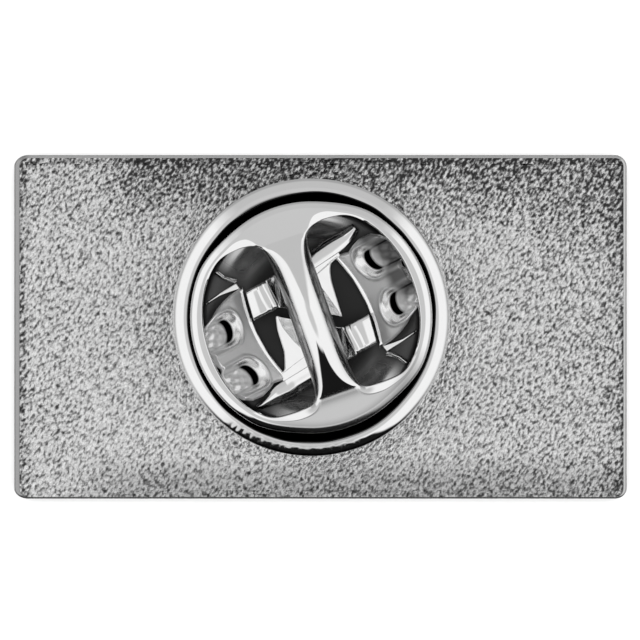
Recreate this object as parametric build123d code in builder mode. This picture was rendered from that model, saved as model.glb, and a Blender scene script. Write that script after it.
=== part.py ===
from build123d import *
import os
from math import cos, radians, sin

# Lapel pin lying on its face, with its back up: a rectangular metal badge whose post is held by
# a butterfly clutch. Millimetres. The origin is the middle of the badge's front face, which the
# pin lies on. +X runs along the badge, +Y across it, and +Z out of its back, along the post.

# Badge plate
plate_length = 25.4
plate_width = 14.25
plate_thickness = 1.5
plate_corner = 0.55
back_edge_round = 0.2
front_edge_round = 0.3

# Post, soldered to the back of the plate and pointed at its free end
post_x = -0.38
post_y = 0.39
post_radius = 0.55
post_length = 6.5
post_point = 1.4
post_point_radius = 0.12
solder_radius = 1.0
solder_height = 0.35

# Clutch: the turn of its bridge from +Y, and the turn of the spring jaws from the bridge
bridge_turn = 19.4
jaw_turn = 8.4
half_turn = 180.0
tip_clearance = 0.2

# Clutch base: a sheet disc whose rim is rolled over the cap's flange
base_radius = 5.7
base_sheet = 0.3
bead_radius = 0.5
bead_lip_turn = 100.0
post_fit = 0.08
collar_height = 0.2

# Clutch cap: a drawn cup with two windows and a bridge between them
cap_sheet = 0.3
cap_flange_gap = 0.05
cap_flange_radius = 5.3
cap_wall_radius = 5.0
cap_wall_lean = 0.15
cap_height = 3.1
cap_shoulder = 0.35
window_radius = 4.45
window_high = 3.65
window_low = 3.5
window_corner = 0.3
bridge_rise = 1.3
bridge_arch = 1.7
bridge_flare = 2.4
bridge_rounding = 0.6
bridge_foot = 3.4
bridge_waist = 0.8
bridge_end_high = 1.2
bridge_end_low = 1.05
bridge_flank = 0.5
bridge_root = 0.25
bridge_sink = 0.02

# Spring jaws: each is a wing that stands in a window, a rolled fold that it turns on, and a strip
# with a tongue and an arm that hold the post from two sides
jaw_sheet = 0.28
jaw_seat_gap = 0.05
fold_radius = 0.16
fold_reach = 2.35
strip_angle = 12.0
grip_gap = 0.07
arm_reach = 2.0
arm_inner = 0.92
arm_outer = 2.2
tongue_inner = 1.03
tongue_outer = 1.6
tongue_overlap = 0.78
strip_corner = 0.11
ear_reach = 3.65
ear_width = 0.4
ear_inset = 0.07
wing_angle = 47.0
wing_reach = 3.95
wing_low = 1.8
wing_high = 2.45
wing_corner = 0.25
flute_half_width = 0.6
flute_depth = 0.42
flute_wall = 0.18
flute_reach = 3.1
flute_spacing = 2.05
flute_offset = 0.12

# Heights that the sizes above give
clutch_floor = plate_thickness + post_length + tip_clearance + cap_sheet - cap_height - bridge_rise
cap_flange_bottom = base_sheet + cap_flange_gap
fold_height = base_sheet + jaw_seat_gap + fold_radius

# Places of the bridge's sections, as shares of the way from the post to bridge_foot
bridge_stations = [-1.10, -0.96, -0.70, -0.36, 0.0, 0.36, 0.70, 0.96, 1.13]

# Wing outline in the wing's own plane, seen from the post. along is a share of wing_low where it
# is negative and of wing_high where it is positive, and up a share of the wing's length.
wing_outline = [
    # along, up
    (-1.00, 0.00),
    (-0.92, 0.28),
    (-1.09, 0.64),
    (-0.98, 1.00),
    (0.50, 1.00),
    (0.71, 0.87),
    (0.94, 0.46),
    (1.02, 0.00),
]


def turned_plane(turn, height):
    """A level plane over the post's foot, turned about the post and lifted above the clutch's underside."""
    along = (cos(radians(turn)), sin(radians(turn)), 0)
    return Plane(origin=(post_x, post_y, clutch_floor + height), x_dir=along, z_dir=(0, 0, 1))


def upright_plane(turn, distance):
    """An upright plane square to the turned Y axis, this far along it from the post."""
    level = turned_plane(turn, 0)
    return Plane(origin=level.origin + level.y_dir * distance, x_dir=level.x_dir, z_dir=level.y_dir * -1)


post_axis = Axis((post_x, post_y, 0), (0, 0, 1))
post_section = Plane(origin=(post_x, post_y, 0), x_dir=(1, 0, 0), z_dir=(0, -1, 0))
clutch_section = Plane(origin=(post_x, post_y, clutch_floor), x_dir=(1, 0, 0), z_dir=(0, -1, 0))


# Badge plate with its soldered post
post_tip = plate_thickness + post_length
post_outline = [
    (0, plate_thickness / 2),
    (solder_radius, plate_thickness / 2),
    (solder_radius, plate_thickness),
    (post_radius, plate_thickness + solder_height),
    (post_radius, post_tip - post_point),
    (post_point_radius, post_tip - post_point_radius),
    (post_point_radius / 2, post_tip),
    (0, post_tip),
]
with BuildPart() as badge_plate:
    with BuildSketch(Plane.XY):
        RectangleRounded(plate_length, plate_width, plate_corner)
    extrude(amount=plate_thickness)
    fillet(badge_plate.faces().sort_by(Axis.Z)[-1].edges(), back_edge_round)
    fillet(badge_plate.faces().sort_by(Axis.Z)[0].edges(), front_edge_round)
    with BuildSketch(post_section):
        with BuildLine():
            Polyline(*post_outline, close=True)
        make_face()
    revolve(axis=post_axis)
badge_plate.part.label = "badge_plate"


# Clutch base: collar round the hole, flat disc, and the rim rolled up and over
bead_middle = (base_radius - bead_radius, bead_radius)
bead_inner_radius = bead_radius - base_sheet
hole_radius = post_radius + post_fit
collar_outline = [
    (hole_radius, 0),
    (bead_middle[0], 0),
    (bead_middle[0], base_sheet),
    (hole_radius + base_sheet, base_sheet),
    (hole_radius + base_sheet / 2, base_sheet + collar_height),
    (hole_radius, base_sheet + collar_height),
]
with BuildPart() as clutch_base:
    with BuildSketch(clutch_section):
        with BuildLine():
            Polyline(*collar_outline, close=True)
        make_face()
    revolve(axis=post_axis)
    with BuildSketch(clutch_section):
        with BuildLine():
            outer_roll = CenterArc(bead_middle, bead_radius, -90, 90 + bead_lip_turn)
            inner_roll = CenterArc(bead_middle, bead_inner_radius, -90, 90 + bead_lip_turn)
            Line(outer_roll @ 0, inner_roll @ 0)
            Line(outer_roll @ 1, inner_roll @ 1)
        make_face()
    revolve(axis=post_axis)
clutch_base.part.label = "clutch_base"


def bridge_section(along, half_width, bottom, top, rounding):
    """One upright section of the bridge: flat on top, with round shoulders and straight flanks."""
    with BuildSketch(upright_plane(bridge_turn, along)) as section:
        with BuildLine():
            Polyline(
                (-half_width, bottom),
                (half_width, bottom),
                (half_width, top),
                (-half_width, top),
                close=True,
            )
        make_face()
        fillet(section.vertices().sort_by(Axis.Y)[-2:], rounding)
    return section.sketch


def bridge_forms():
    """The sections of the bridge's outside, and those of the hollow under it, from end to end."""
    outside = []
    hollow = []
    for share in bridge_stations:
        along = share * bridge_foot
        end_width = bridge_end_high if share > 0 else bridge_end_low
        half_width = bridge_waist + (end_width - bridge_waist) * abs(share) ** bridge_flare
        rise = bridge_rise * max(1 - abs(share) ** bridge_arch, 0)
        top = cap_height + rise - bridge_sink
        depth = cap_sheet + bridge_root + bridge_flank * max(1 - share**2, 0)
        corner = min(half_width * bridge_rounding, depth / 2)
        outside.append(bridge_section(along, half_width, top - depth, top, corner))
        inner_half_width = half_width - cap_sheet
        inner_corner = min(inner_half_width * bridge_rounding, depth / 2)
        inner_top = top - cap_sheet
        hollow.append(
            bridge_section(along, inner_half_width, inner_top - depth, inner_top, inner_corner)
        )
    return outside, hollow


# Clutch cap: flange under the rolled rim, wall, flat top with two windows, and the bridge
wall_top_radius = cap_wall_radius - cap_wall_lean
cap_outline = [
    (cap_wall_radius - cap_sheet, cap_flange_bottom),
    (cap_flange_radius, cap_flange_bottom),
    (cap_flange_radius, cap_flange_bottom + cap_sheet),
    (cap_wall_radius, cap_flange_bottom + cap_sheet),
    (wall_top_radius, cap_height),
    (0, cap_height),
    (0, cap_height - cap_sheet),
    (wall_top_radius - cap_sheet, cap_height - cap_sheet),
]
bridge_outside, bridge_hollow = bridge_forms()
with BuildPart() as clutch_cap:
    with BuildSketch(clutch_section):
        with BuildLine():
            Polyline(*cap_outline, close=True)
        make_face()
    revolve(axis=post_axis)
    fillet(clutch_cap.faces().sort_by(Axis.Z)[-1].edges(), cap_shoulder)
    with BuildSketch(turned_plane(bridge_turn, cap_height - cap_sheet * 2)) as window_cut:
        Circle(window_radius)
        with Locations((0, (window_high - window_low) / 2)):
            Rectangle(window_radius * 2, window_high + window_low, mode=Mode.INTERSECT)
        fillet(window_cut.vertices(), window_corner)
    extrude(amount=cap_sheet * 3, mode=Mode.SUBTRACT)
    loft(bridge_outside)
    loft(bridge_hollow, mode=Mode.SUBTRACT)
clutch_cap.part.label = "clutch_cap"


def strip_outline():
    """The flat part of a jaw, seen from above with its wing at the left.

    It runs from the fold round the slot's end, up and down the tongue, along the grip that faces the
    post, round the arm's end and back. Each point is a share of the sizes that set its edges.
    """
    grip = post_radius + grip_gap
    return [
        (-fold_reach, -arm_outer),
        (-fold_reach, -arm_outer * 0.60),
        (-fold_reach * 0.86, -arm_outer * 0.66),
        (-tongue_outer * 1.05, -arm_inner * 0.83),
        (-tongue_outer * 0.93, tongue_overlap * 0.28),
        (-tongue_inner * 1.25, tongue_overlap),
        (-tongue_inner * 1.02, tongue_overlap),
        (-tongue_inner * 1.14, tongue_overlap * 0.22),
        (-tongue_inner, -arm_inner * 0.55),
        (-tongue_inner * 0.85, -arm_inner),
        (-post_radius * 0.9, -grip),
        (post_radius * 0.9, -grip),
        (tongue_inner * 0.85, -arm_inner),
        (arm_reach, -arm_inner * 1.08),
        (arm_reach, -arm_outer),
        (-tongue_inner, -arm_outer * 1.06),
        (-fold_reach * 0.85, -arm_outer * 1.13),
    ]


def wing_points():
    """The corners of the wing in its own plane: along the fold, then up the slope."""
    wing_length = (wing_reach - fold_reach) / cos(radians(wing_angle))
    return [
        (along * (wing_high if along > 0 else wing_low), up * wing_length) for along, up in wing_outline
    ]


def wing_jaw(turn):
    """One jaw, with its wing on the turned plane's -X side."""
    level = turned_plane(turn, fold_height)
    fold_place = level.from_local_coords((-fold_reach, 0, 0))
    fold_end = level.from_local_coords((-fold_reach, -wing_low, 0))
    fold_plane = Plane(origin=fold_end, x_dir=level.x_dir, z_dir=level.y_dir)
    strip_dir = level.x_dir * cos(radians(strip_angle)) + level.z_dir * sin(radians(strip_angle))
    strip_plane = Plane(
        origin=fold_place + strip_dir * (fold_reach / cos(radians(strip_angle))),
        x_dir=strip_dir,
        z_dir=strip_dir.cross(level.y_dir),
    )
    up_dir = level.x_dir * -cos(radians(wing_angle)) + level.z_dir * sin(radians(wing_angle))
    wing_plane = Plane(origin=fold_place, x_dir=level.y_dir, z_dir=level.y_dir.cross(up_dir))
    flute_start = (flute_reach - fold_reach) / cos(radians(wing_angle))
    flute_length = (wing_reach - flute_reach) / cos(radians(wing_angle))
    flute_plane = Plane(origin=fold_place + up_dir * flute_start, x_dir=level.y_dir, z_dir=up_dir)
    with BuildPart() as jaw:
        with BuildSketch(fold_plane):
            Circle(fold_radius)
        extrude(amount=wing_low + wing_high)
        with BuildSketch(strip_plane) as strip:
            with BuildLine():
                Polyline(*strip_outline(), close=True)
            make_face()
            fillet(strip.vertices().sort_by(Axis.X)[3:], strip_corner)
        extrude(amount=jaw_sheet / 2, both=True)
        with BuildSketch(level):
            with Locations((-(fold_reach + ear_reach) / 2, ear_inset - arm_outer)):
                SlotOverall(ear_reach - fold_reach + ear_width, ear_width)
        extrude(amount=jaw_sheet / 2, both=True)
        with BuildSketch(wing_plane) as wing:
            with BuildLine():
                Polyline(*wing_points(), close=True)
            make_face()
            fillet(wing.vertices().sort_by(Axis.Y)[2:], wing_corner)
        extrude(amount=jaw_sheet / 2, both=True)
        for side in (-1, 1):
            flute_along = flute_offset + side * flute_spacing / 2
            with BuildSketch(flute_plane):
                with Locations((flute_along, 0)):
                    Ellipse(flute_half_width, flute_depth)
                with Locations((flute_along, -flute_depth)):
                    Rectangle(flute_half_width * 2, flute_depth * 2, mode=Mode.SUBTRACT)
            extrude(amount=flute_length)
            with BuildSketch(flute_plane.offset(flute_wall)):
                with Locations((flute_along, 0)):
                    Ellipse(flute_half_width - flute_wall, flute_depth - flute_wall)
                with Locations((flute_along, -jaw_sheet / 2)):
                    Rectangle((flute_half_width - flute_wall) * 2, jaw_sheet)
            extrude(amount=flute_length, mode=Mode.SUBTRACT)
    return jaw.part


left_wing_jaw = wing_jaw(bridge_turn + jaw_turn)
left_wing_jaw.label = "left_wing_jaw"
right_wing_jaw = wing_jaw(bridge_turn + jaw_turn + half_turn)
right_wing_jaw.label = "right_wing_jaw"


os.makedirs("parts", exist_ok=True)
export_step(badge_plate.part, "parts/badge_plate.step")
export_step(clutch_base.part, "parts/clutch_base.step")
export_step(clutch_cap.part, "parts/clutch_cap.step")
export_step(left_wing_jaw, "parts/left_wing_jaw.step")
export_step(right_wing_jaw, "parts/right_wing_jaw.step")
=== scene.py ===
from math import cos, radians, sin

import bmesh
import bpy
import numpy as np
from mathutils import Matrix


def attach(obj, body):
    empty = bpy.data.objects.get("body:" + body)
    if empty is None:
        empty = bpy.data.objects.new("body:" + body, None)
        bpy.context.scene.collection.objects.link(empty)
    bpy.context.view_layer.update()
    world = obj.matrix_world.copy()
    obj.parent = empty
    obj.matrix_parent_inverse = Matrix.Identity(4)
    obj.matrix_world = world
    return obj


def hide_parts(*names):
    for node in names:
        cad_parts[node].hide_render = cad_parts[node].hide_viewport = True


# A lapel pin lying on its face, seen from above: a blasted badge plate whose post is held by a
# butterfly clutch. Lengths are in millimetres until a mesh is made, and in the CAD's own frame.

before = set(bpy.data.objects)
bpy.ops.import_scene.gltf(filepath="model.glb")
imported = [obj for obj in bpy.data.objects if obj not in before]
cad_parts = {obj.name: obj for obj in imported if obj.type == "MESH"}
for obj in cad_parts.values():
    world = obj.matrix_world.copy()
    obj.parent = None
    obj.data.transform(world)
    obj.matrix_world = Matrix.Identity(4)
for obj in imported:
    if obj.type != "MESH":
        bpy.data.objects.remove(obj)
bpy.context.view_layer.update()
MM = 0.001

# Badge plate and post
plate_length = 25.4
plate_width = 14.25
plate_thickness = 1.5
plate_corner = 0.55
back_edge = 0.2
left_edge = 0.23
right_edge = 0.14
top_edge = 0.13
bottom_edge = 0.07
front_edge = 0.3
grain_height = 0.004
grain_margin = 0.15
grain_cells = 6.8
pit_depth = 0.069
post_x = -0.38
post_y = 0.39
post_radius = 0.55
post_tip = 8.0
post_point = 1.4
solder_radius = 1.0
solder_height = 0.35

# Clutch: its underside, and the turns of its bridge and of its spring jaws
clutch_floor = 4.1
bridge_turn = 19.4
jaw_turn = 8.4

# Clutch base
sheet = 0.3
rim_radius = 5.74
bead_radius = 0.46
bead_sheet = 0.26
bead_lip_turn = 112.0
bead_wander = 6.5
bead_lean = 0.2
marks_middle = 243.0
marks_height = 0.0075
marks_wear = 0.01
dish_start = 2.9
dish_end = 4.3
dish_rise = 0.5
hole_radius = 0.63
collar_height = 0.15

# Clutch cap
cap_height = 3.1
cap_sheet = 0.22
flat_radius_ends = 4.45
flat_radius_sides = 4.65
foot_radius_ends = 4.77
foot_radius_sides = 4.98
cap_flange_radius = 5.18
cap_flange_height = 0.55
window_radius = 4.4
window_bulge = 0.12
window_high = 3.65
window_low = 3.5
window_middle = 2.55
window_corner_power = 22
bridge_rise = 1.27
bridge_foot = 3.3
bridge_arch = 2.1
arch_blend = 0.12
bridge_waist = 0.82
bridge_end = 0.98
bridge_flare = 8.0
flank_depth = 1.4
flank_end_depth = 0.25
lip_width = 0.34
lip_slope = 0.24
curl_width = 0.1
curl_depth = 0.2

# Spring jaws
jaw_sheet = 0.28
fold_reach = 2.35
fold_height = 0.51
fold_bow = 0.075
fold_bow_middle = 0.2
strip_angle = 12.0
wing_angle = 46.0
wing_foot = 2.27
wing_length = 2.84
crease_angle = 11.0
crease_start = 0.16
crease_end = 0.32
flute_spacing = 2.05
flute_middle = 0.12
flute_start = 0.8
flute_half_width = 0.7
flute_depth = 0.3
flute_rim = 0.075
lump_height = 0.085
crescent = 0.45
wing_tip = 0.03


def smooth_step(value, low, high):
    """0 where the value is at low or under, 1 at high or over, and smooth between."""
    share = np.clip((value - low) / (high - low), 0, 1)
    return share**2 * (3 - 2 * share)


def smooth_least(a, b):
    """The lesser of two lengths, smooth where they cross: the sum of their inverse fourth powers."""
    return (a**-4.0 + b**-4.0) ** -0.25


def grid_faces(rows, columns, close_rows=False, close_columns=False):
    """Quads between neighbouring points of a grid that is numbered row by row."""
    row = np.arange(rows if close_rows else rows - 1)
    column = np.arange(columns if close_columns else columns - 1)
    row, column = np.meshgrid(row, column, indexing="ij")
    next_row = (row + 1) % rows
    next_column = (column + 1) % columns
    corners = [
        row * columns + column,
        row * columns + next_column,
        next_row * columns + next_column,
        next_row * columns + column,
    ]
    return np.stack(corners, axis=-1).reshape(-1, 4)


def surface(points, close_rows=False, close_columns=False):
    """A grid of points as a flat list of points with its quads.

    A point's fourth number, where it has one, is its finish_and_painted_light: how smooth it is, with
    painted shade and painted highlights.
    """
    rows, columns, depth = points.shape
    return points.reshape(-1, depth), grid_faces(rows, columns, close_rows, close_columns)


def joined(surfaces):
    """Several lists of points and quads as one list of each."""
    starts = np.cumsum([0] + [len(points) for points, _ in surfaces[:-1]])
    points = np.concatenate([points for points, _ in surfaces])
    faces = np.concatenate([faces + start for (_, faces), start in zip(surfaces, starts)])
    return points, faces


def with_finish(points, finish_and_painted_light):
    """Points with their finish_and_painted_light value as a fourth number."""
    finish_and_painted_light = np.broadcast_to(finish_and_painted_light, points.shape[:-1])
    return np.concatenate([points, finish_and_painted_light[..., None]], axis=-1)


def make_piece(name, points, faces, body, node, material, end_faces=()):
    """A smooth closed mesh from points in millimetres, merged where they meet, on its body.

    A fourth number of each point goes to the attribute "finish_and_painted_light", which carries
    painted shade and painted highlights.
    """
    mesh = bpy.data.meshes.new(name)
    place = points[:, :3] * MM
    mesh.from_pydata(place.tolist(), [], faces.tolist() + [list(face) for face in end_faces])
    if points.shape[1] > 3:
        finish_and_painted_light = mesh.attributes.new("finish_and_painted_light", "FLOAT", "POINT")
        finish_and_painted_light.data.foreach_set("value", points[:, 3].astype(np.float32))
    work = bmesh.new()
    work.from_mesh(mesh)
    bmesh.ops.remove_doubles(work, verts=work.verts, dist=0.0005 * MM)
    bmesh.ops.dissolve_degenerate(work, edges=work.edges, dist=0.0002 * MM)
    bmesh.ops.recalc_face_normals(work, faces=work.faces)
    if work.calc_volume(signed=True) < 0:
        bmesh.ops.reverse_faces(work, faces=work.faces)
    work.to_mesh(mesh)
    work.free()
    mesh.shade_smooth()
    for face in mesh.polygons:
        face.use_smooth = len(face.vertices) < 5
    piece = bpy.data.objects.new(name, mesh)
    bpy.context.scene.collection.objects.link(piece)
    mesh.materials.append(material)
    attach(piece, body)
    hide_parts(node)
    return piece


def turned(points, turn, height=clutch_floor):
    """Points given across, along and above the post's foot, turned about it into the CAD's frame."""
    c, s = cos(radians(turn)), sin(radians(turn))
    x = post_x + points[..., 0] * c - points[..., 1] * s
    y = post_y + points[..., 0] * s + points[..., 1] * c
    place = np.stack([x, y, points[..., 2] + height], axis=-1)
    return np.concatenate([place, points[..., 3:]], axis=-1)


def revolved(profile, angles):
    """A profile of radius and height, carried round the axis: one row for each angle."""
    radius, height = np.asarray(profile)[..., 0], np.asarray(profile)[..., 1]
    turn = angles[:, None]
    return np.stack([radius * np.cos(turn), radius * np.sin(turn), height + 0 * turn], axis=-1)


def arc(middle, radius, start, end, count):
    """Points of radius and height along an arc, from one angle in degrees to another."""
    angle = np.radians(np.linspace(start, end, count))
    return np.stack([middle[0] + radius * np.cos(angle), middle[1] + radius * np.sin(angle)], axis=-1)


class Wire:
    """A value in a node tree. Arithmetic on wires adds Math nodes to that tree."""

    def __init__(self, tree, socket=None):
        self.tree = tree
        self.socket = socket

    def node(self, kind, sockets=None, output=0, stops=None, **settings):
        """Adds a node: its settings and ramp stops first, then its sockets' values or links."""
        made = self.tree.nodes.new(kind)
        for setting, value in settings.items():
            setattr(made, setting, value)
        if stops:
            while len(made.color_ramp.elements) < len(stops):
                made.color_ramp.elements.new(0.5)
            for element, (place, shade) in zip(made.color_ramp.elements, stops):
                element.position = place
                element.color = (shade, shade, shade, 1)
        for key, value in (sockets or {}).items():
            if isinstance(value, Wire):
                self.tree.links.new(value.socket, made.inputs[key])
            else:
                made.inputs[key].default_value = value
        return Wire(self.tree, made.outputs[output] if made.outputs else None)

    def math(self, operation, a, b=0.0):
        return self.node("ShaderNodeMath", {0: a, 1: b}, operation=operation)

    def __add__(self, other):
        return self.math("ADD", self, other)

    __radd__ = __add__

    def __sub__(self, other):
        return self.math("SUBTRACT", self, other)

    def __rsub__(self, other):
        return self.math("SUBTRACT", other, self)

    def __mul__(self, other):
        return self.math("MULTIPLY", self, other)

    __rmul__ = __mul__

    def __truediv__(self, other):
        return self.math("DIVIDE", self, other)

    def __pow__(self, other):
        return self.math("POWER", self, other)

    def __abs__(self):
        return self.math("ABSOLUTE", self)

    def above(self, other):
        """The greater of the two."""
        return self.math("MAXIMUM", self, other)

    def step(self, low, high):
        """0 where the value is at low or under, 1 at high or over, and smooth between."""
        return self.node(
            "ShaderNodeMapRange",
            {"Value": self, "From Min": low, "From Max": high},
            interpolation_type="SMOOTHSTEP",
        )

    def split(self):
        """The three parts of a vector."""
        made = self.node("ShaderNodeSeparateXYZ", {0: self}).socket.node
        return [Wire(self.tree, part) for part in made.outputs]


def new_metal(name):
    """An empty material: (the material, a wire on its tree)."""
    material = bpy.data.materials.new(name)
    material.use_nodes = True
    tree = material.node_tree
    tree.nodes.clear()
    return material, Wire(tree)


def finish_metal(wire, colour, roughness, normal=None, metallic=1.0):
    """Ends a metal's tree with its shader and output."""
    sockets = {"Base Color": colour, "Metallic": metallic, "Roughness": roughness}
    sockets["Specular IOR Level"] = 0.0
    if normal is not None:
        sockets["Normal"] = normal
    shader = wire.node("ShaderNodeBsdfPrincipled", sockets)
    wire.node("ShaderNodeOutputMaterial", {"Surface": shader})


def noise(wire, place, scale, detail=2.0, roughness=0.5):
    """Noise of this many cells to a millimetre."""
    return wire.node(
        "ShaderNodeTexNoise",
        {"Vector": place, "Scale": scale / MM, "Detail": detail, "Roughness": roughness},
    )


def bump(wire, height, distance, strength=1.0):
    """A normal that rises by distance millimetres where height goes from 0 to 1."""
    return wire.node(
        "ShaderNodeBump", {"Strength": strength, "Distance": distance * MM, "Height": height}
    )


def bright_nickel(name, tone, haze, sheen=0.03, metal=1.0):
    """Bright nickel over drawn sheet: clean, with faint cloudiness and a slight ripple.

    Sheen and haze are its least roughness and what clouds add to it, and metal is the share of
    its open faces that mirrors. Its finish_and_painted_light value is 0 on open faces; at -1 it is
    painted shade in recesses, dark and rough, and at 1 a painted highlight on edges, white and smooth.
    """
    material, wire = new_metal(name)
    place = wire.node("ShaderNodeTexCoord", output="Object")
    finish_and_painted_light = wire.node("ShaderNodeAttribute", output="Fac", attribute_name="finish_and_painted_light")
    cloud = noise(wire, place, 0.6, 3.0)
    ripple = noise(wire, place, 1.4, 1.0)
    painted_highlight = finish_and_painted_light.above(0.0)
    painted_shade = (0.0 - finish_and_painted_light).above(0.0)
    # Painted shade darkens recesses, and painted highlights whiten edges.
    colour = (tone - 0.04 * cloud) * (1 - painted_shade) + painted_highlight * (0.98 - tone)
    roughness = (sheen + haze * cloud) * (1 - 0.8 * painted_highlight) + painted_shade * 0.32
    metallic = (metal + (1 - metal) * painted_highlight) * (1 - painted_shade**8)
    finish_metal(wire, colour, roughness, bump(wire, ripple, 0.006), metallic)
    return material


def blasted_nickel():
    """Blasted nickel: a sharp grain of pits, stretched along one diagonal.

    Shade is painted into it: the pits are darker towards the plate's top, right and border, and the
    whole is painted darker towards its bottom. Its finish_and_painted_light attribute is 1 on the
    plate's smooth edge and 0 on its blasted back.
    """
    material, wire = new_metal("blasted_nickel")
    place = wire.node("ShaderNodeTexCoord", output="Object")
    edge = wire.node("ShaderNodeAttribute", output="Fac", attribute_name="finish_and_painted_light")
    x, y, z = place.split()
    along = x * 0.57 + y * 0.82
    across = y * 0.57 - x * 0.82
    streaks = wire.node("ShaderNodeCombineXYZ", {0: along * 0.78, 1: across * 1.22, 2: z})
    x, y = x / MM, y / MM
    # Painted shade: masks that darken the pits towards the plate's top, sides, bottom and border.
    corner = x.step(6.5, 10.5)
    top = y.step(3.2, 7.0) * (0.25 + 0.75 * x.step(-9.5, -7.0) - 0.7 * corner)
    top = top + y.step(1.5, 4.5) * corner * 0.3
    left = 0.0 - x
    sides = x.step(3.0, 12.6) * 0.055 + x.step(11.2, 12.6) * 0.042
    sides = sides + left.step(4.5, 7.5) * 0.022
    bottom = (0.0 - y).step(5.0, 6.6) * x.step(-11.5, -6.5) * (1 - 0.3 * x.step(6.0, 11.0))
    border = left.step(12.0, 12.44) * 0.1 + x.step(12.36, 12.52) * 0.07
    border = border + y.step(6.7, 6.9) * 0.04
    patch = noise(wire, place, 0.35, 2.0)
    painted_shade_and_patches = top * 0.165 + sides + bottom * 0.035 + border + (patch - 0.5) * 0.06
    grain = noise(wire, streaks, grain_cells, 2.0, 0.55)
    pitted = grain - painted_shade_and_patches
    speck = wire.node(
        "ShaderNodeValToRGB",
        {"Fac": pitted},
        stops=[(0.27, 0.04), (0.38, 0.34), (0.47, 0.66), (0.56, 0.81), (0.7, 0.9)],
    )
    # Painted shade: the smooth edge is darker on the left, and the whole plate is darker towards its
    # bottom.
    shine = 0.52 - 0.18 * left.step(12.0, 12.3)
    colour = speck * (1 - edge) * (1 - bottom * 0.3) + edge * shine
    roughness = 0.2 - edge * 0.06
    pits = bump(wire, grain * (1 - edge), pit_depth)
    finish_metal(wire, colour, roughness, pits, 1 - edge * 0.12)
    return material


def smooth_nickel():
    """Polished nickel for the post."""
    material, wire = new_metal("smooth_nickel")
    place = wire.node("ShaderNodeTexCoord", output="Object")
    cloud = noise(wire, place, 0.8, 3.0)
    finish_metal(wire, (0.8, 0.8, 0.8, 1), 0.12 + 0.1 * cloud, bump(wire, cloud, 0.01))
    return material


blasted = blasted_nickel()
smooth = smooth_nickel()
clutch_nickel = bright_nickel("clutch_nickel", 0.9, 0.04)
spring_nickel = bright_nickel("spring_nickel", 0.78, 0.1, 0.33, 0.75)


# Badge plate
def plate_grid(length, width, corner, columns, rows):
    """A grid over a rounded rectangle: each row is as long as the outline is wide there.

    Rows are added where the corners curve.
    """
    fine = width / 2 - corner * (1 - np.sin(np.linspace(0, np.pi / 2, 12)[:-1]))
    y = np.sort(np.concatenate([np.linspace(-width / 2, width / 2, rows), fine, -fine]))[:, None]
    beyond = np.clip(abs(y) - (width / 2 - corner), 0, corner)
    half = length / 2 - corner + np.sqrt(corner**2 - beyond**2)
    x = np.linspace(-1, 1, columns)[None, :] * half
    return x, y + 0 * x


def border(grid):
    """The points on a grid's border, anticlockwise from its first corner."""
    return np.concatenate([grid[0, :-1], grid[:-1, -1], grid[-1, :0:-1], grid[:0:-1, 0]])


def corner_ends(loop, length, width, corner):
    """The outward direction at each point of a rounded rectangle's outline."""
    core = np.stack(
        [
            np.clip(loop[:, 0], corner - length / 2, length / 2 - corner),
            np.clip(loop[:, 1], corner - width / 2, width / 2 - corner),
        ],
        axis=-1,
    )
    away = loop - core
    return away / np.linalg.norm(away, axis=1, keepdims=True)


def badge_plate():
    """The plate: a grid over its back with a shallow grain, and rows that round its edges.

    Each side's smooth edge has a width of its own.
    """
    length, width = plate_length - left_edge - right_edge, plate_width - top_edge - bottom_edge
    corner = plate_corner - back_edge
    x, y = plate_grid(length, width, corner, 300, 170)
    rng = np.random.default_rng(7)
    grain = rng.normal(size=x.shape)
    grain = grain + np.roll(grain, 1, 0) + np.roll(grain, 1, 1)
    inside = np.minimum(width / 2 - abs(y), length / 2 - abs(x))
    fade = np.clip(inside / grain_margin, 0, 1)
    middle = np.array([left_edge - right_edge, bottom_edge - top_edge]) / 2
    height = plate_thickness + grain_height * grain * fade
    back = np.stack([x + middle[0], y + middle[1], height, 0 * x], axis=-1)
    loop = border(np.stack([x, y], axis=-1))
    out = corner_ends(loop, length, width, corner)
    wide = np.stack(
        [
            np.where(out[:, 0] < 0, left_edge, right_edge),
            np.where(out[:, 1] < 0, bottom_edge, top_edge),
        ],
        axis=-1,
    )
    round_turn = np.linspace(0, np.pi / 2, 7)
    steps = [(0.06, 0, 0.001)]
    steps += [(sin(turn), 0, back_edge * (1 - cos(turn))) for turn in round_turn[1:]]
    steps += [(1, 0, plate_thickness / 2)]
    steps += [
        (1, front_edge * (1 - cos(turn)), plate_thickness - front_edge * (1 - sin(turn)))
        for turn in round_turn
    ]
    rings = [border(back)]
    for share, inward, drop in steps:
        height = np.full((len(loop), 1), plate_thickness - drop)
        place = loop + middle + out * (wide * share - inward)
        rings.append(np.concatenate([place, height, 1 + 0 * height], axis=1))
    last = rings[-1].copy()
    last[:, :2] *= 0.97
    rings.append(last)
    points, faces = joined([surface(back), surface(np.stack(rings), close_columns=True)])
    return points, faces, [list(range(len(points) - len(loop), len(points)))]


points, faces, ends = badge_plate()
make_piece("plate", points, faces, "pin", "badge_plate", blasted, ends)


def post():
    """The post: its solder fillet, its shank and its point, as one profile carried round."""
    flare = solder_radius - post_radius
    foot = arc((0.0, 0.0), 1.0, 270, 180, 8)
    foot = (solder_radius, plate_thickness + solder_height) + foot * (flare, solder_height)
    profile = np.concatenate(
        [
            [(0.0, plate_thickness - 0.1), (solder_radius, plate_thickness - 0.1)],
            foot,
            [(post_radius, post_tip - post_point), (0.4, post_tip - 0.9)],
            arc((0.0, post_tip - 0.12), 0.12, 0, 90, 5),
        ]
    )
    angles = np.linspace(0, 2 * np.pi, 64, endpoint=False)
    return surface(turned(revolved(profile, angles), 0, 0), close_rows=True)


points, faces = post()
make_piece("post", points, faces, "pin", "badge_plate", smooth)


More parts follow.
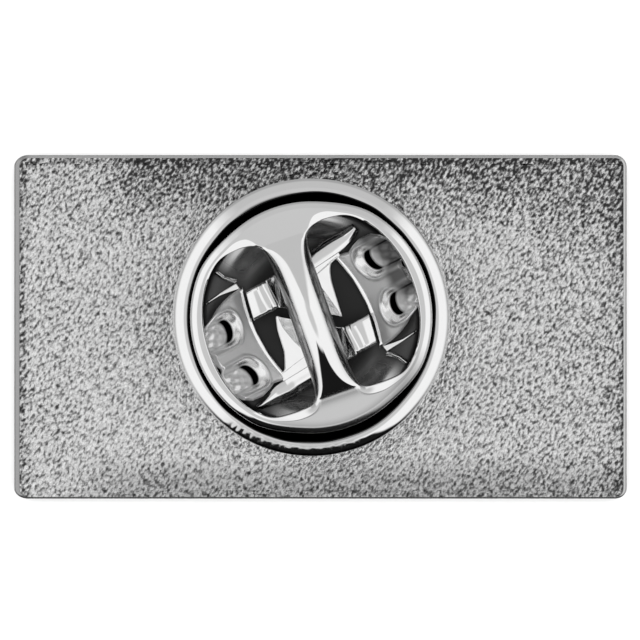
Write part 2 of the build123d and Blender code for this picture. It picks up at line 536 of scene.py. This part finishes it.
def clutch_base():
    """The base disc: collar, floor and rolled rim as one closed section, carried round.

    The rim's section is an arc. It rolls over by an angle that wanders a few degrees, because it
    was closed by hand, and its crest is wrinkled along one side, where it is also rougher and
    painted darker as shade. On two sides the section is sheared, so that its crest leans outward.
    The floor rises in a ring towards the rim. The floor and the rim's inner side are painted dark as
    shade, and the floor has paler painted light under the ends of the bridge.
    """
    angles = np.linspace(0, 2 * np.pi, 720, endpoint=False)
    rng = np.random.default_rng(3)
    wander = np.zeros_like(angles)
    for wave in range(2, 26):
        wander += rng.normal() / wave * np.cos(wave * angles + rng.uniform(0, 2 * np.pi))
    turn = bead_lip_turn + bead_wander * wander
    share = np.linspace(0, 1, 28)
    roll = np.radians(-90 + (90 + turn[:, None]) * share)
    marks = rng.normal(size=roll.shape)
    marks = marks + np.roll(marks, 1, 0) + np.roll(marks, -1, 0)
    for _ in range(4):
        marks = marks + 0.5 * np.roll(marks, 1, 1) + 0.5 * np.roll(marks, -1, 1)
    marks = marks / marks.std()
    near = smooth_step(np.cos(angles - radians(marks_middle)), 0.8, 0.95)[:, None]
    crest = smooth_step(roll, 0.4, 0.9) * smooth_step(-roll, -1.5, -1.3)
    outer = bead_radius - marks_wear * near + marks_height * marks * near * crest
    middle = rim_radius - bead_radius
    inner = bead_radius - bead_sheet
    sideways = abs(np.cos(angles + radians(bridge_turn)))[:, None]
    lean = bead_lean * smooth_step(sideways, 0.45, 0.8)
    one = np.ones((len(angles), 1))
    low = [(hole_radius, sheet + collar_height), (hole_radius, 0.0), (1.2, 0.0), (3.0, 0.0)]
    dish = np.linspace(4.6, 0.95, 50)
    lift = dish_rise * smooth_step(dish, dish_start, dish_end) * smooth_step(-dish, -4.56, -4.4)
    high = np.stack([dish, sheet + lift], axis=-1).tolist()
    high += [(hole_radius + 0.15, sheet + collar_height)]
    low, high = np.array(low), np.array(high)
    radius = [one * low[:, 0], middle + outer * np.cos(roll)]
    radius += [middle + inner * np.cos(roll[:, ::-1]), one * high[:, 0]]
    height = [one * low[:, 1], bead_radius + outer * (np.sin(roll) - lean * np.cos(roll))]
    back = roll[:, ::-1]
    height += [bead_radius + inner * (np.sin(back) - lean * np.cos(back)), one * high[:, 1]]
    ends = smooth_step(abs(np.sin(angles))[:, None], 0.7, 0.88)
    # Painted light: the floor, painted dark as shade, is paler under the ends of the bridge.
    pale = 0.55 * smooth_step(high[:, 0], 2.9, 3.7) * ends
    pale = 0.05 * smooth_step(high[:, 0], 2.6, 3.2) + pale
    # Painted shade: the wrinkled side of the crest is darker, and rougher.
    painted_rim_shade = 0.36 * near * smooth_step(roll, 0.3, 0.7) * smooth_step(-roll, -1.6, -1.3)
    # Painted shade: the end of the rim's lip, the rim's inner side and the floor are dark.
    finish_and_painted_light = [0 * one * low[:, 0], -painted_rim_shade - (share > 0.985), 0 * roll - 1.0, pale - 0.975]
    radius, height, finish_and_painted_light = (np.concatenate(part, axis=1) for part in (radius, height, finish_and_painted_light))
    turn = angles[:, None]
    points = np.stack([radius * np.cos(turn), radius * np.sin(turn), height, finish_and_painted_light], axis=-1)
    return surface(turned(points, bridge_turn), close_rows=True, close_columns=True)


points, faces = clutch_base()
make_piece("base", points, faces, "clutch", "clutch_base", clutch_nickel)


# Cap
def bridge_edge(along):
    """Half the bridge's width at each place along it: narrow at the waist, flared at both ends."""
    return bridge_waist + (bridge_end - bridge_waist) * abs(along / bridge_foot) ** bridge_flare


def window_loop(angles):
    """One window's outline, from rays out of its middle.

    Along each ray the outline lies at the smooth least of the distances to the window's round
    outer side, its flat top and bottom, and the bridge's edge: the sum of their inverse powers.
    """
    across, up = np.cos(angles), np.sin(angles)
    middle = window_middle
    half = middle * across
    round_side = np.full_like(angles, 2.0)
    for _ in range(8):
        place = np.arctan2(round_side * up, middle + round_side * across)
        radius = window_radius + window_bulge * np.sin(2 * place) ** 2
        round_side = -half + np.sqrt(half**2 + radius**2 - middle**2)
    flat = np.where(up > 0, window_high, window_low) / np.maximum(abs(up), 1e-6)
    near, far = np.zeros_like(angles), np.full_like(angles, 50.0)
    for _ in range(40):
        inner = (near + far) / 2
        beyond = middle + inner * across < bridge_edge(np.clip(inner * up, -4, 4))
        near, far = np.where(beyond, near, inner), np.where(beyond, inner, far)
    total = round_side**-window_corner_power + flat**-window_corner_power
    total = total + inner**-window_corner_power
    reach = total ** (-1 / window_corner_power)
    return np.stack([middle + reach * across, reach * up], axis=-1)


def cap_top(across, along):
    """Height of the cap's top before its edges curl: flat, with the arched bridge over the middle.

    A parabola blends the arch into the flat at its feet.
    """
    arch = 1 - abs(along / bridge_foot) ** bridge_arch
    blended = (arch + arch_blend) ** 2 / (4 * arch_blend)
    arch = np.where(abs(arch) < arch_blend, blended, np.maximum(arch, 0))
    beside = np.clip((2.4 - abs(across)) / 1.0, 0, 1)
    return cap_height + bridge_rise * arch * beside


def between(around, ends, sides):
    """A column of radii, one for each direction: from one at the bridge's ends to that at its sides."""
    return (ends + (sides - ends) * smooth_step(around[:, 0] ** 2, 0.12, 0.6))[:, None]


def half_cap():
    """One half of the cap's outside, from its window's edge to the middle line and the wall.

    Three kinds of edge run into each other round the window: the bridge's deep flank and the tight
    curl at the side are quarters of ellipses, and the lips at the top and bottom are flat bevels,
    which fall to the window at the top and rise to it at the bottom.
    """
    inner_count, outer_count = 161, 200
    corner_high = np.arctan2(window_high - 0.05, bridge_edge(window_high) - window_middle)
    corner_low = np.arctan2(0.05 - window_low, bridge_edge(window_low) - window_middle) + 2 * np.pi
    inner_angles = np.linspace(corner_high, corner_low, inner_count)
    outer_angles = np.linspace(corner_low, corner_high + 2 * np.pi, outer_count)
    angles = np.concatenate([inner_angles, outer_angles[1:-1]])
    loop = window_loop(angles)
    ahead = np.roll(loop, -1, 0) - np.roll(loop, 1, 0)
    out = np.stack([ahead[:, 1], -ahead[:, 0]], axis=-1)
    out /= np.linalg.norm(out, axis=1, keepdims=True)
    share = loop[:inner_count, 1]
    middle_u = np.where(share > 0, share / share[0], -share / share[-1]) * flat_radius_ends
    line = np.stack([0 * middle_u, middle_u], axis=-1)
    rest = loop[inner_count:]
    rest_angle = np.arctan2(rest[:, 1], rest[:, 0])
    low_root = -np.arctan2(loop[inner_count - 1, 1], loop[inner_count - 1, 0])
    root = np.where(rest_angle > 0, np.arctan2(loop[0, 1], loop[0, 0]), low_root)
    near_root = np.clip((abs(rest_angle) - 0.87) / (root - 0.87), 0, 1)
    spread = rest_angle + np.sign(rest_angle) * (np.pi / 2 - root) * near_root**2
    around = np.stack([np.cos(spread), np.sin(spread)], axis=-1)
    outer = np.concatenate([line, around * between(around, flat_radius_ends, flat_radius_sides)])
    across, up, along = loop[:, 0], loop[:, 1], abs(loop[:, 1])
    flank = smooth_step(-across, -1.7, -1.25) * smooth_step(-along, -3.55, -3.2)
    lip = np.where(up > 0, smooth_step(up, 2.3, 3.1), smooth_step(-up, 1.9, 3.0)) * (1 - flank)
    curl = 1 - flank - lip
    flat_half = 0.02 + 0.57 * (along / 3.1) ** 8
    flank_width = np.clip(bridge_edge(along) - flat_half, 0.2, 2)
    deeper = 1 - np.clip(along / 3.35, 0, 1) ** 3
    flank_drop = flank_end_depth + (flank_depth - flank_end_depth) * deeper
    room = np.linalg.norm(outer - loop, axis=1)
    flank_width = np.minimum(flank_width, room * 0.97)
    taper = np.where(up > 0, 0.1 + 0.9 * smooth_step(abs(across), 1.05, 1.6), 1)
    bevel = smooth_least(lip_width * taper, 0.7 * room)
    tight = smooth_least(curl_width, 0.5 * room)
    rows = []
    for share in np.linspace(0, 1, 15):
        lean = np.pi / 2 * (1 - share)
        reach = (flank * flank_width + curl * tight) * (1 - sin(lean)) + lip * bevel * share
        drop = (flank * flank_drop + curl * curl_depth) * (1 - cos(lean))
        drop = drop + lip * lip_slope * bevel * np.sign(up) * (1 - share)
        flat = loop + out * reach[:, None]
        height = cap_top(flat[:, 0], flat[:, 1]) - drop
        # Painted shade: the bridge's flank darkens towards its lower edge, and the bottom lips' outer
        # crease is dark.
        shade = 0.7 * flank * smooth_step(-share, -0.75, -0.2)
        finish_and_painted_light = -0.75 * lip * (up < 0) * (share == 1) - shade
        rows.append(np.concatenate([flat, height[:, None], finish_and_painted_light[:, None]], axis=1))
    curl_end = rows[-1][:, :2]
    for share in np.linspace(0, 1, 13)[1:]:
        flat = curl_end + (outer - curl_end) * share
        height = cap_top(flat[:, 0], flat[:, 1])
        # Painted shade at the bridge's lower foot.
        beyond_foot = (flat[:, 1] + bridge_foot + 0.1) / 0.2
        foot = -0.5 * np.exp(-(beyond_foot**2)) * (abs(flat[:, 0]) < 1.3)
        rows.append(np.concatenate([flat, height[:, None], foot[:, None]], axis=1))
    around = np.concatenate([[(0.0, -1.0)], around, [(0.0, 1.0)]])
    flat = between(around, flat_radius_ends, flat_radius_sides)
    foot = between(around, foot_radius_ends, foot_radius_sides)
    lean = np.radians(np.linspace(90, 0, 40))
    radius = [flat + (foot - flat) * np.cos(lean)]
    height = [cap_height - (foot - flat) * (1 - np.sin(lean))]
    low = cap_flange_height + 0.15
    share = np.linspace(0, 1, 8)[1:]
    height.append(height[0][:, -1:] + (low - height[0][:, -1:]) * share)
    radius.append(foot + 0 * share)
    curve = np.radians(np.linspace(180, 270, 5))[1:]
    radius.append(foot + (cap_flange_radius - foot) * (1 + np.cos(curve)))
    height.append(low + 0.15 * np.sin(curve) + 0 * foot)
    radius, height = (np.concatenate(part, axis=1) for part in (radius, height))
    # Painted shade: the wall darkens towards its foot and flange.
    finish_and_painted_light = -smooth_step(-height, -2.2, -1.2)
    wall = around[:, None, :] * radius[..., None]
    wall = np.concatenate([wall, height[..., None], finish_and_painted_light[..., None]], axis=-1)
    return np.stack(rows), wall.transpose(1, 0, 2)


def clutch_cap():
    """The cap: a half and its wall, each with its mirror image. Its shoulder has painted shade on one
    side.
    """
    surfaces = []
    for part, closed in zip(half_cap(), (True, False)):
        surfaces.append(surface(part, close_columns=closed))
        surfaces.append(surface(part * (-1, 1, 1, 1), close_columns=closed))
    points, faces = joined(surfaces)
    points = turned(points, bridge_turn)
    out = points[:, :2] - (post_x, post_y)
    radius = np.linalg.norm(out, axis=1)
    toward = (out[:, 0] * 0.42 - out[:, 1] * 0.91) / np.maximum(radius, 1)
    # Painted shade on the side of the shoulder towards -y.
    painted_shoulder_shade = 0.6 * smooth_step(radius, 4.2, 4.75) * smooth_step(toward, 0.6, 0.9)
    points[:, 3] = np.minimum(points[:, 3], -painted_shoulder_shade)
    return points, faces


points, faces = clutch_cap()
cap = make_piece("cap", points, faces, "clutch", "clutch_cap", clutch_nickel)
thick = cap.modifiers.new("sheet", "SOLIDIFY")
thick.thickness = cap_sheet * MM
thick.offset = -1.0


# Spring jaws
wing_table = [
    # share up the wing, low edge, high edge
    (0.00, -1.80, 2.45),
    (0.28, -1.68, 2.38),
    (0.46, -1.84, 2.27),
    (0.64, -1.95, 2.08),
    (0.87, -1.92, 1.74),
    (1.00, -1.70, 1.35),
]


def wing_path(rise):
    """Where the wing's middle lies across and up, and its slope, at each length from its foot.

    The slope turns from nearly level to the wing's own angle over the crease, and the path is the
    sum of its steps.
    """
    fine = np.linspace(0, wing_length, 800)
    slope = crease_angle + (wing_angle - crease_angle) * smooth_step(fine, crease_start, crease_end)
    slope = np.radians(slope)
    across = -wing_foot - np.cumsum(np.cos(slope)) * fine[1]
    height = fold_height + np.cumsum(np.sin(slope)) * fine[1]
    return [np.interp(rise, fine, values) for values in (across, height, slope)]


def wing_shell(tip_darkening):
    """A wing as a flat tube: round the sheet's section on one parameter, up the wing on the other.

    Two flutes sink into its inner face. Their depth depends on the distance to a half-round line,
    so their inner ends are round, and their floors are lumpy. The wing's foot bows. Painted
    highlights whiten its crease and the flutes' rims, and painted shade darkens a crescent inside
    each flute's inner end. Its outer end is darker by tip_darkening, but for one flute's floor.
    """
    table = np.array(wing_table)
    tip_turn = np.linspace(0, np.pi / 2, 8)[1:]
    tip_start = 1 - wing_tip
    up = np.concatenate([np.linspace(0, tip_start, 120), 1 - wing_tip * np.cos(tip_turn)])
    low = np.interp(up, table[:, 0], table[:, 1])
    high = np.interp(up, table[:, 0], table[:, 2])
    tip_round = np.sqrt(np.clip(1 - ((up - tip_start) / wing_tip) ** 2, 0, 1))
    thin = np.where(up > tip_start, tip_round, 1.0)
    start = np.clip(up / 0.02, 0, 1)
    thin = thin * np.sqrt(np.clip(1 - (1 - start) ** 2, 0, 1))
    half = jaw_sheet / 2
    count = 140
    edge_turn = np.linspace(0, np.pi, 9)[1:-1]
    span = np.linspace(0, 1, count)
    span = np.concatenate([span, np.ones(7), span[::-1], np.zeros(7)])
    side = np.concatenate([np.ones(count), np.cos(edge_turn), -np.ones(count), -np.cos(edge_turn)])
    bulge = np.concatenate([np.zeros(count), np.sin(edge_turn), np.zeros(count), -np.sin(edge_turn)])
    low_in = low + half
    high_in = high - half
    q = low_in[:, None] + (high_in - low_in)[:, None] * span + half * bulge
    face = side * half * thin[:, None]
    wave = 1 + 0.018 * np.sin(3.1 * q + 0.6) + 0.012 * np.sin(7.3 * q)
    rise = up[:, None] * wing_length * (1 + (wave - 1) * up[:, None] ** 4)
    relief = 0 * q
    dark = 0 * q
    # Painted highlight on the crease.
    edge_highlight = smooth_step(-rise, -crease_end, -crease_start)
    for direction in (-1, 1):
        beside = q - flute_middle - direction * flute_spacing / 2
        short = np.minimum(rise - flute_start - flute_half_width, 0)
        gap = np.hypot(short, beside) - flute_half_width
        outward = smooth_step(rise, flute_start + 0.4, wing_length)
        relief -= flute_depth * smooth_step(-gap, 0, 0.25 + 0.1 * outward)
        relief += flute_rim * np.exp(-(((gap - 0.07) / 0.08) ** 2)) * (1 - 0.5 * outward)
        # Painted highlight on the flute's rim.
        edge_highlight = edge_highlight + 0.3 * np.exp(-(((gap - 0.02) / 0.09) ** 2)) * outward
        lumps = np.sin(8.1 * beside + 3.0 * rise + direction) * np.sin(7.3 * rise - 1.5 * direction)
        lumps = lumps + 0.5 * np.sin(15.0 * beside - 6.0 * rise)
        relief += lump_height * lumps * smooth_step(-gap, 0.05, 0.3) * outward
        edge_highlight = edge_highlight + 0.5 * np.exp(-(((gap + 0.1) / 0.12) ** 4)) * (1 - outward)
        short = np.minimum(rise - flute_start - flute_half_width - crescent, 0)
        inner = np.hypot(short, beside) - flute_half_width
        # Painted shade: a dark crescent inside the flute's inner end.
        dark += smooth_step(-gap, 0.16, 0.28) * smooth_step(inner, -0.3, -0.08)
    across, height, slope = wing_path(rise)
    across = across + fold_bow * (q - fold_bow_middle) ** 2
    lift = face + relief
    points = np.stack([across + lift * np.sin(slope), q, height + lift * np.cos(slope)], axis=-1)
    # The outer end is darker, but for one flute's floor.
    outer_end = tip_darkening * smooth_step(rise, 1.5, 2.2) * (1 - smooth_step(q, 0.8, 1.4))
    finish_and_painted_light = np.clip(edge_highlight, 0, 1) - 1.3 * np.clip(dark, 0, 1) - outer_end
    return with_finish(points, np.maximum(finish_and_painted_light, -1.3) * (side > 0))


def wing(name, turn, body, node, tip_darkening):
    """A jaw's wing, from its crease up."""
    points, faces = surface(turned(wing_shell(tip_darkening), bridge_turn + turn), close_columns=True)
    make_piece(name, points, faces, body, node, spring_nickel)


wing("left_wing", jaw_turn, "left_wing", "left_wing_jaw", 0.0)
wing("right_wing", jaw_turn + 180, "right_wing", "right_wing_jaw", 0.82)


def ribbon(left, right, thickness, count=40, crown=0.0):
    """A strip between two edges that run side by side, as a flat tube with round edges.

    Each edge is a list of points, followed at even shares of its length; the strip's section is a
    rectangle with half-round ends between them, raised along its middle by the crown.
    """
    edges = []
    for edge in (left, right):
        edge = np.array(edge, float)
        along = np.concatenate([[0], np.cumsum(np.linalg.norm(np.diff(edge, axis=0), axis=1))])
        share = np.linspace(0, along[-1], count)
        edges.append(np.stack([np.interp(share, along, edge[:, i]) for i in range(3)], axis=-1))
    left, right = edges
    ahead = np.gradient((left + right) / 2, axis=0)
    over = right - left
    up = np.cross(over, ahead)
    up /= np.linalg.norm(up, axis=1, keepdims=True)
    up *= np.sign(up[:, 2:])
    side = over / np.linalg.norm(over, axis=1, keepdims=True)
    half = thickness / 2
    flat = np.linspace(0, 1, 12)
    turn = np.linspace(0, np.pi, 7)[1:-1]
    share = np.concatenate([flat, np.ones(5), flat[::-1], np.zeros(5)])
    lift = np.concatenate([np.ones(12), np.cos(turn), -np.ones(12), -np.cos(turn)])
    bulge = np.concatenate([np.zeros(12), np.sin(turn), np.zeros(12), -np.sin(turn)])
    inset = half * side
    start = left + inset
    section = start[:, None] + (right - left - 2 * inset)[:, None] * share[None, :, None]
    section = section + side[:, None] * (half * bulge)[None, :, None]
    rise = half * lift + crown * (1 - (2 * share - 1) ** 2)
    section = section + up[:, None] * rise[None, :, None]
    first, last = section[:1].mean(axis=1), section[-1:].mean(axis=1)
    first = np.repeat(first[:, None], len(share), axis=1)
    last = np.repeat(last[:, None], len(share), axis=1)
    return with_finish(np.concatenate([first, section, last]), 0.0)


def on_strip(places, lift=0.0):
    """Places on the plane that rises inward from the fold, as points."""
    places = np.array(places, float)
    p, q = places[:, 0], places[:, 1]
    lean = radians(strip_angle)
    height = fold_height + (fold_reach + p) * sin(lean) + lift
    if places.shape[1] > 2:
        height = height + places[:, 2]
    return np.stack([p, q, height], axis=-1)


def round_corners(corners, reach, count):
    """A closed outline whose corners are rounded: each by a parabola between points this far off."""
    corners = np.array(corners, float)
    share = np.linspace(0, 1, count)[:, None, None]
    ends = []
    for other in (np.roll(corners, 1, 0), np.roll(corners, -1, 0)):
        away = other - corners
        length = np.linalg.norm(away, axis=1, keepdims=True)
        ends.append(corners + away / length * np.minimum(reach, 0.45 * length))
    points = (1 - share) ** 2 * ends[0] + 2 * share * (1 - share) * corners + share**2 * ends[1]
    return points.transpose(1, 0, 2).reshape(-1, 2)


def flat_sheet(corners, thickness):
    """A piece cut from the strip's plane: its outline carried round a half-round edge.

    Gives its points, quads and the two faces that close it.
    """
    loop = round_corners(corners, 0.12, 6)
    ahead = np.roll(loop, -1, 0) - np.roll(loop, 1, 0)
    inward = np.stack([-ahead[:, 1], ahead[:, 0]], axis=-1)
    inward /= np.linalg.norm(inward, axis=1, keepdims=True)
    turn = np.linspace(-np.pi / 2, np.pi / 2, 9)
    edge = 0.07
    inset = np.concatenate([[edge + 0.01], edge * (1 - np.cos(turn)), [edge + 0.01]])
    lift = np.sign(turn) * (thickness / 2 - edge) + edge * np.sin(turn)
    lift = np.concatenate([lift[:1], lift, lift[-1:]])
    rings = loop + inward * inset[:, None, None]
    heights = np.broadcast_to(lift[:, None, None], rings.shape[:2] + (1,))
    rings = np.concatenate([rings, heights], axis=-1)
    points = on_strip(rings.reshape(-1, 3))
    points, faces = surface(points.reshape(rings.shape), close_columns=True)
    count = len(loop)
    ends = [list(range(count)), list(range(len(points) - count, len(points)))]
    return with_finish(points, 0.0), faces, ends


left_tongue = [
    # across, along: the fold's end, up the slot to the tongue's tip, back down
    (-2.30, -2.20),
    (-2.30, -1.40),
    (-2.00, -1.42),
    (-1.68, -0.76),
    (-1.50, 0.20),
    (-1.30, 0.74),
    (-1.12, 0.74),
    (-1.17, 0.17),
    (-1.03, -0.50),
]
right_tongue = [
    # the same, where the slot is rounder and the tongue narrower
    (-2.30, -2.20),
    (-2.30, -1.62),
    (-1.98, -1.66),
    (-1.76, -1.58),
    (-1.60, -1.34),
    (-1.46, -0.96),
    (-1.35, -0.42),
    (-1.25, 0.12),
    (-1.17, 0.58),
    (-1.04, 0.58),
    (-1.03, 0.15),
    (-0.95, -0.35),
]
strip_outline = [
    # across, along: the grip, the band
    (-0.88, -0.92),
    (-0.50, -0.62),
    (0.50, -0.62),
    (0.88, -0.92),
    (1.00, -0.94),
    (1.00, -2.25),
    (-1.03, -2.33),
    (-2.00, -2.48),
]


arm_fall = [
    # across at its outer and inner edge, fall below the strip's plane
    (0.95, 0.95, 0.0),
    (1.08, 1.08, -0.01),
    (1.18, 1.18, -0.06),
    (1.32, 1.32, -0.07),
    (1.40, 1.45, -0.13),
    (1.60, 1.75, -0.2),
    (1.86, 2.13, -0.345),
]
left_ear = [
    # across, along and height of its inner edge, then of its outer edge
    [
        (-3.72, -2.14, 1.0),
        (-3.3, -2.0, 0.9),
        (-2.7, -1.8, 0.77),
        (-2.2, -1.78, 0.72),
        (-1.0, -1.7, 0.93),
    ],
    [
        (-3.75, -2.3, 0.98),
        (-3.5, -2.42, 0.88),
        (-2.75, -2.52, 0.7),
        (-1.9, -2.54, 0.67),
        (-1.0, -2.44, 0.84),
    ],
]
right_ear = [
    # the same, with a blunt end
    [
        (-3.4, -2.24, 0.93),
        (-3.15, -2.08, 0.92),
        (-2.86, -1.95, 0.91),
        (-2.3, -1.84, 0.9),
        (-1.0, -1.7, 1.0),
    ],
    [
        (-3.3, -2.62, 0.92),
        (-3.05, -2.6, 0.89),
        (-2.75, -2.58, 0.86),
        (-1.9, -2.56, 0.84),
        (-1.0, -2.44, 0.9),
    ],
]


def strips(name, turn, body, node, tongue, ear_edges):
    """A jaw's flat parts: the band with its tongue, the arm's bent end, both ears and the tab."""
    points, faces, ends = flat_sheet((tongue + strip_outline)[::-1], jaw_sheet)
    arm = ribbon(
        on_strip([(outer, -2.22, fall) for outer, _, fall in arm_fall]),
        on_strip([(inner, -0.97, fall) for _, inner, fall in arm_fall]),
        jaw_sheet,
    )
    ear = ribbon(*ear_edges, 0.14, crown=0.06)
    far_ear = ribbon(
        [(-3.6, 2.56, 0.98), (-2.9, 2.66, 0.72), (-2.1, 2.72, 0.58)],
        [(-3.6, 2.47, 0.98), (-2.9, 2.52, 0.72), (-2.05, 2.42, 0.58)],
        0.1,
    )
    tab = ribbon(
        [(-2.72, 3.5, 1.0), (-2.56, 3.15, 0.9), (-2.36, 2.9, 0.8), (-2.12, 2.72, 0.66)],
        [(-2.5, 3.52, 1.0), (-2.36, 3.2, 0.9), (-2.16, 2.98, 0.8), (-1.98, 2.84, 0.66)],
        0.1,
        crown=0.05,
    )
    tilt = bridge_turn + turn
    shapes = [(turned(points, tilt), faces)]
    shapes += [surface(turned(part, tilt), close_columns=True) for part in (arm, ear, far_ear, tab)]
    points, faces = joined(shapes)
    make_piece(name, points, faces, body, node, clutch_nickel, ends)


strips("left_strips", jaw_turn, "left_wing", "left_wing_jaw", left_tongue, left_ear)
strips("right_strips", jaw_turn + 180, "right_wing", "right_wing_jaw", right_tongue, right_ear)


# Studio: a pale floor, a light tent whose front is dark, and the camera straight above
def studio():
    """A tent that is white at its sides, pale above and behind, and dark in front and below."""
    world = bpy.data.worlds.new("studio")
    bpy.context.scene.world = world
    world.use_nodes = True
    tree = world.node_tree
    tree.nodes.clear()
    wire = Wire(tree)
    x, y, z = wire.node("ShaderNodeTexCoord", output="Object").split()
    level = (x * x + y * y + 1e-6) ** 0.5
    toward = y / level
    away = 1 - z.step(0.905, 0.985)
    behind = toward.step(0.64, 0.82) * away
    front = ((1 - z) * 0.12 - toward).step(0.87, 0.93) * (1 - z.step(0.76, 0.86))
    below = (0.0 - z).step(-0.05, 0.45)
    nearer = (0.0 - toward).step(0.45, 0.75)
    farther = toward.step(0.45, 0.75)
    seen = wire.node("ShaderNodeLightPath", output="Is Camera Ray")
    glow = 0.63 + away * 0.37 - behind * 0.42
    glow = glow * (1 - front * 0.99) * (1 - below * (0.55 + nearer * 0.42 - farther * 0.25))
    glow = glow * (1 - seen) + seen * 0.95
    background = wire.node("ShaderNodeBackground", {"Color": glow, "Strength": 1.0})
    wire.node("ShaderNodeOutputWorld", {"Surface": background})


studio()

floor_mesh = bpy.data.meshes.new("floor")
floor_reach = 3.0
corners = [(-floor_reach, -floor_reach, 0), (floor_reach, -floor_reach, 0)]
corners += [(floor_reach, floor_reach, 0), (-floor_reach, floor_reach, 0)]
floor_mesh.from_pydata(corners, [], [(0, 1, 2, 3)])
floor = bpy.data.objects.new("floor", floor_mesh)
floor.visible_glossy = False
bpy.context.scene.collection.objects.link(floor)
material, wire = new_metal("floor_white")
finish_metal(wire, (0.95, 0.95, 0.95, 1), 0.9, metallic=0.0)
floor_mesh.materials.append(material)

lamp = bpy.data.lights.new("overhead", "SUN")
lamp.energy = 2.6
lamp.angle = radians(60)
lamp_holder = bpy.data.objects.new("overhead", lamp)
lamp_holder.visible_glossy = False
bpy.context.scene.collection.objects.link(lamp_holder)

camera = bpy.data.cameras.new("camera")
camera_height = 0.7
camera_x = -0.02
camera_y = 0.283
view_width = 26.54
camera.sensor_width = 36.0
camera.lens = camera.sensor_width * (camera_height - plate_thickness * MM) / (view_width * MM)
camera.clip_end = 10.0
camera_holder = bpy.data.objects.new("camera", camera)
camera_holder.location = (camera_x * MM, camera_y * MM, camera_height)
bpy.context.scene.collection.objects.link(camera_holder)
bpy.context.scene.camera = camera_holder
bpy.context.scene.view_settings.view_transform = "Standard"
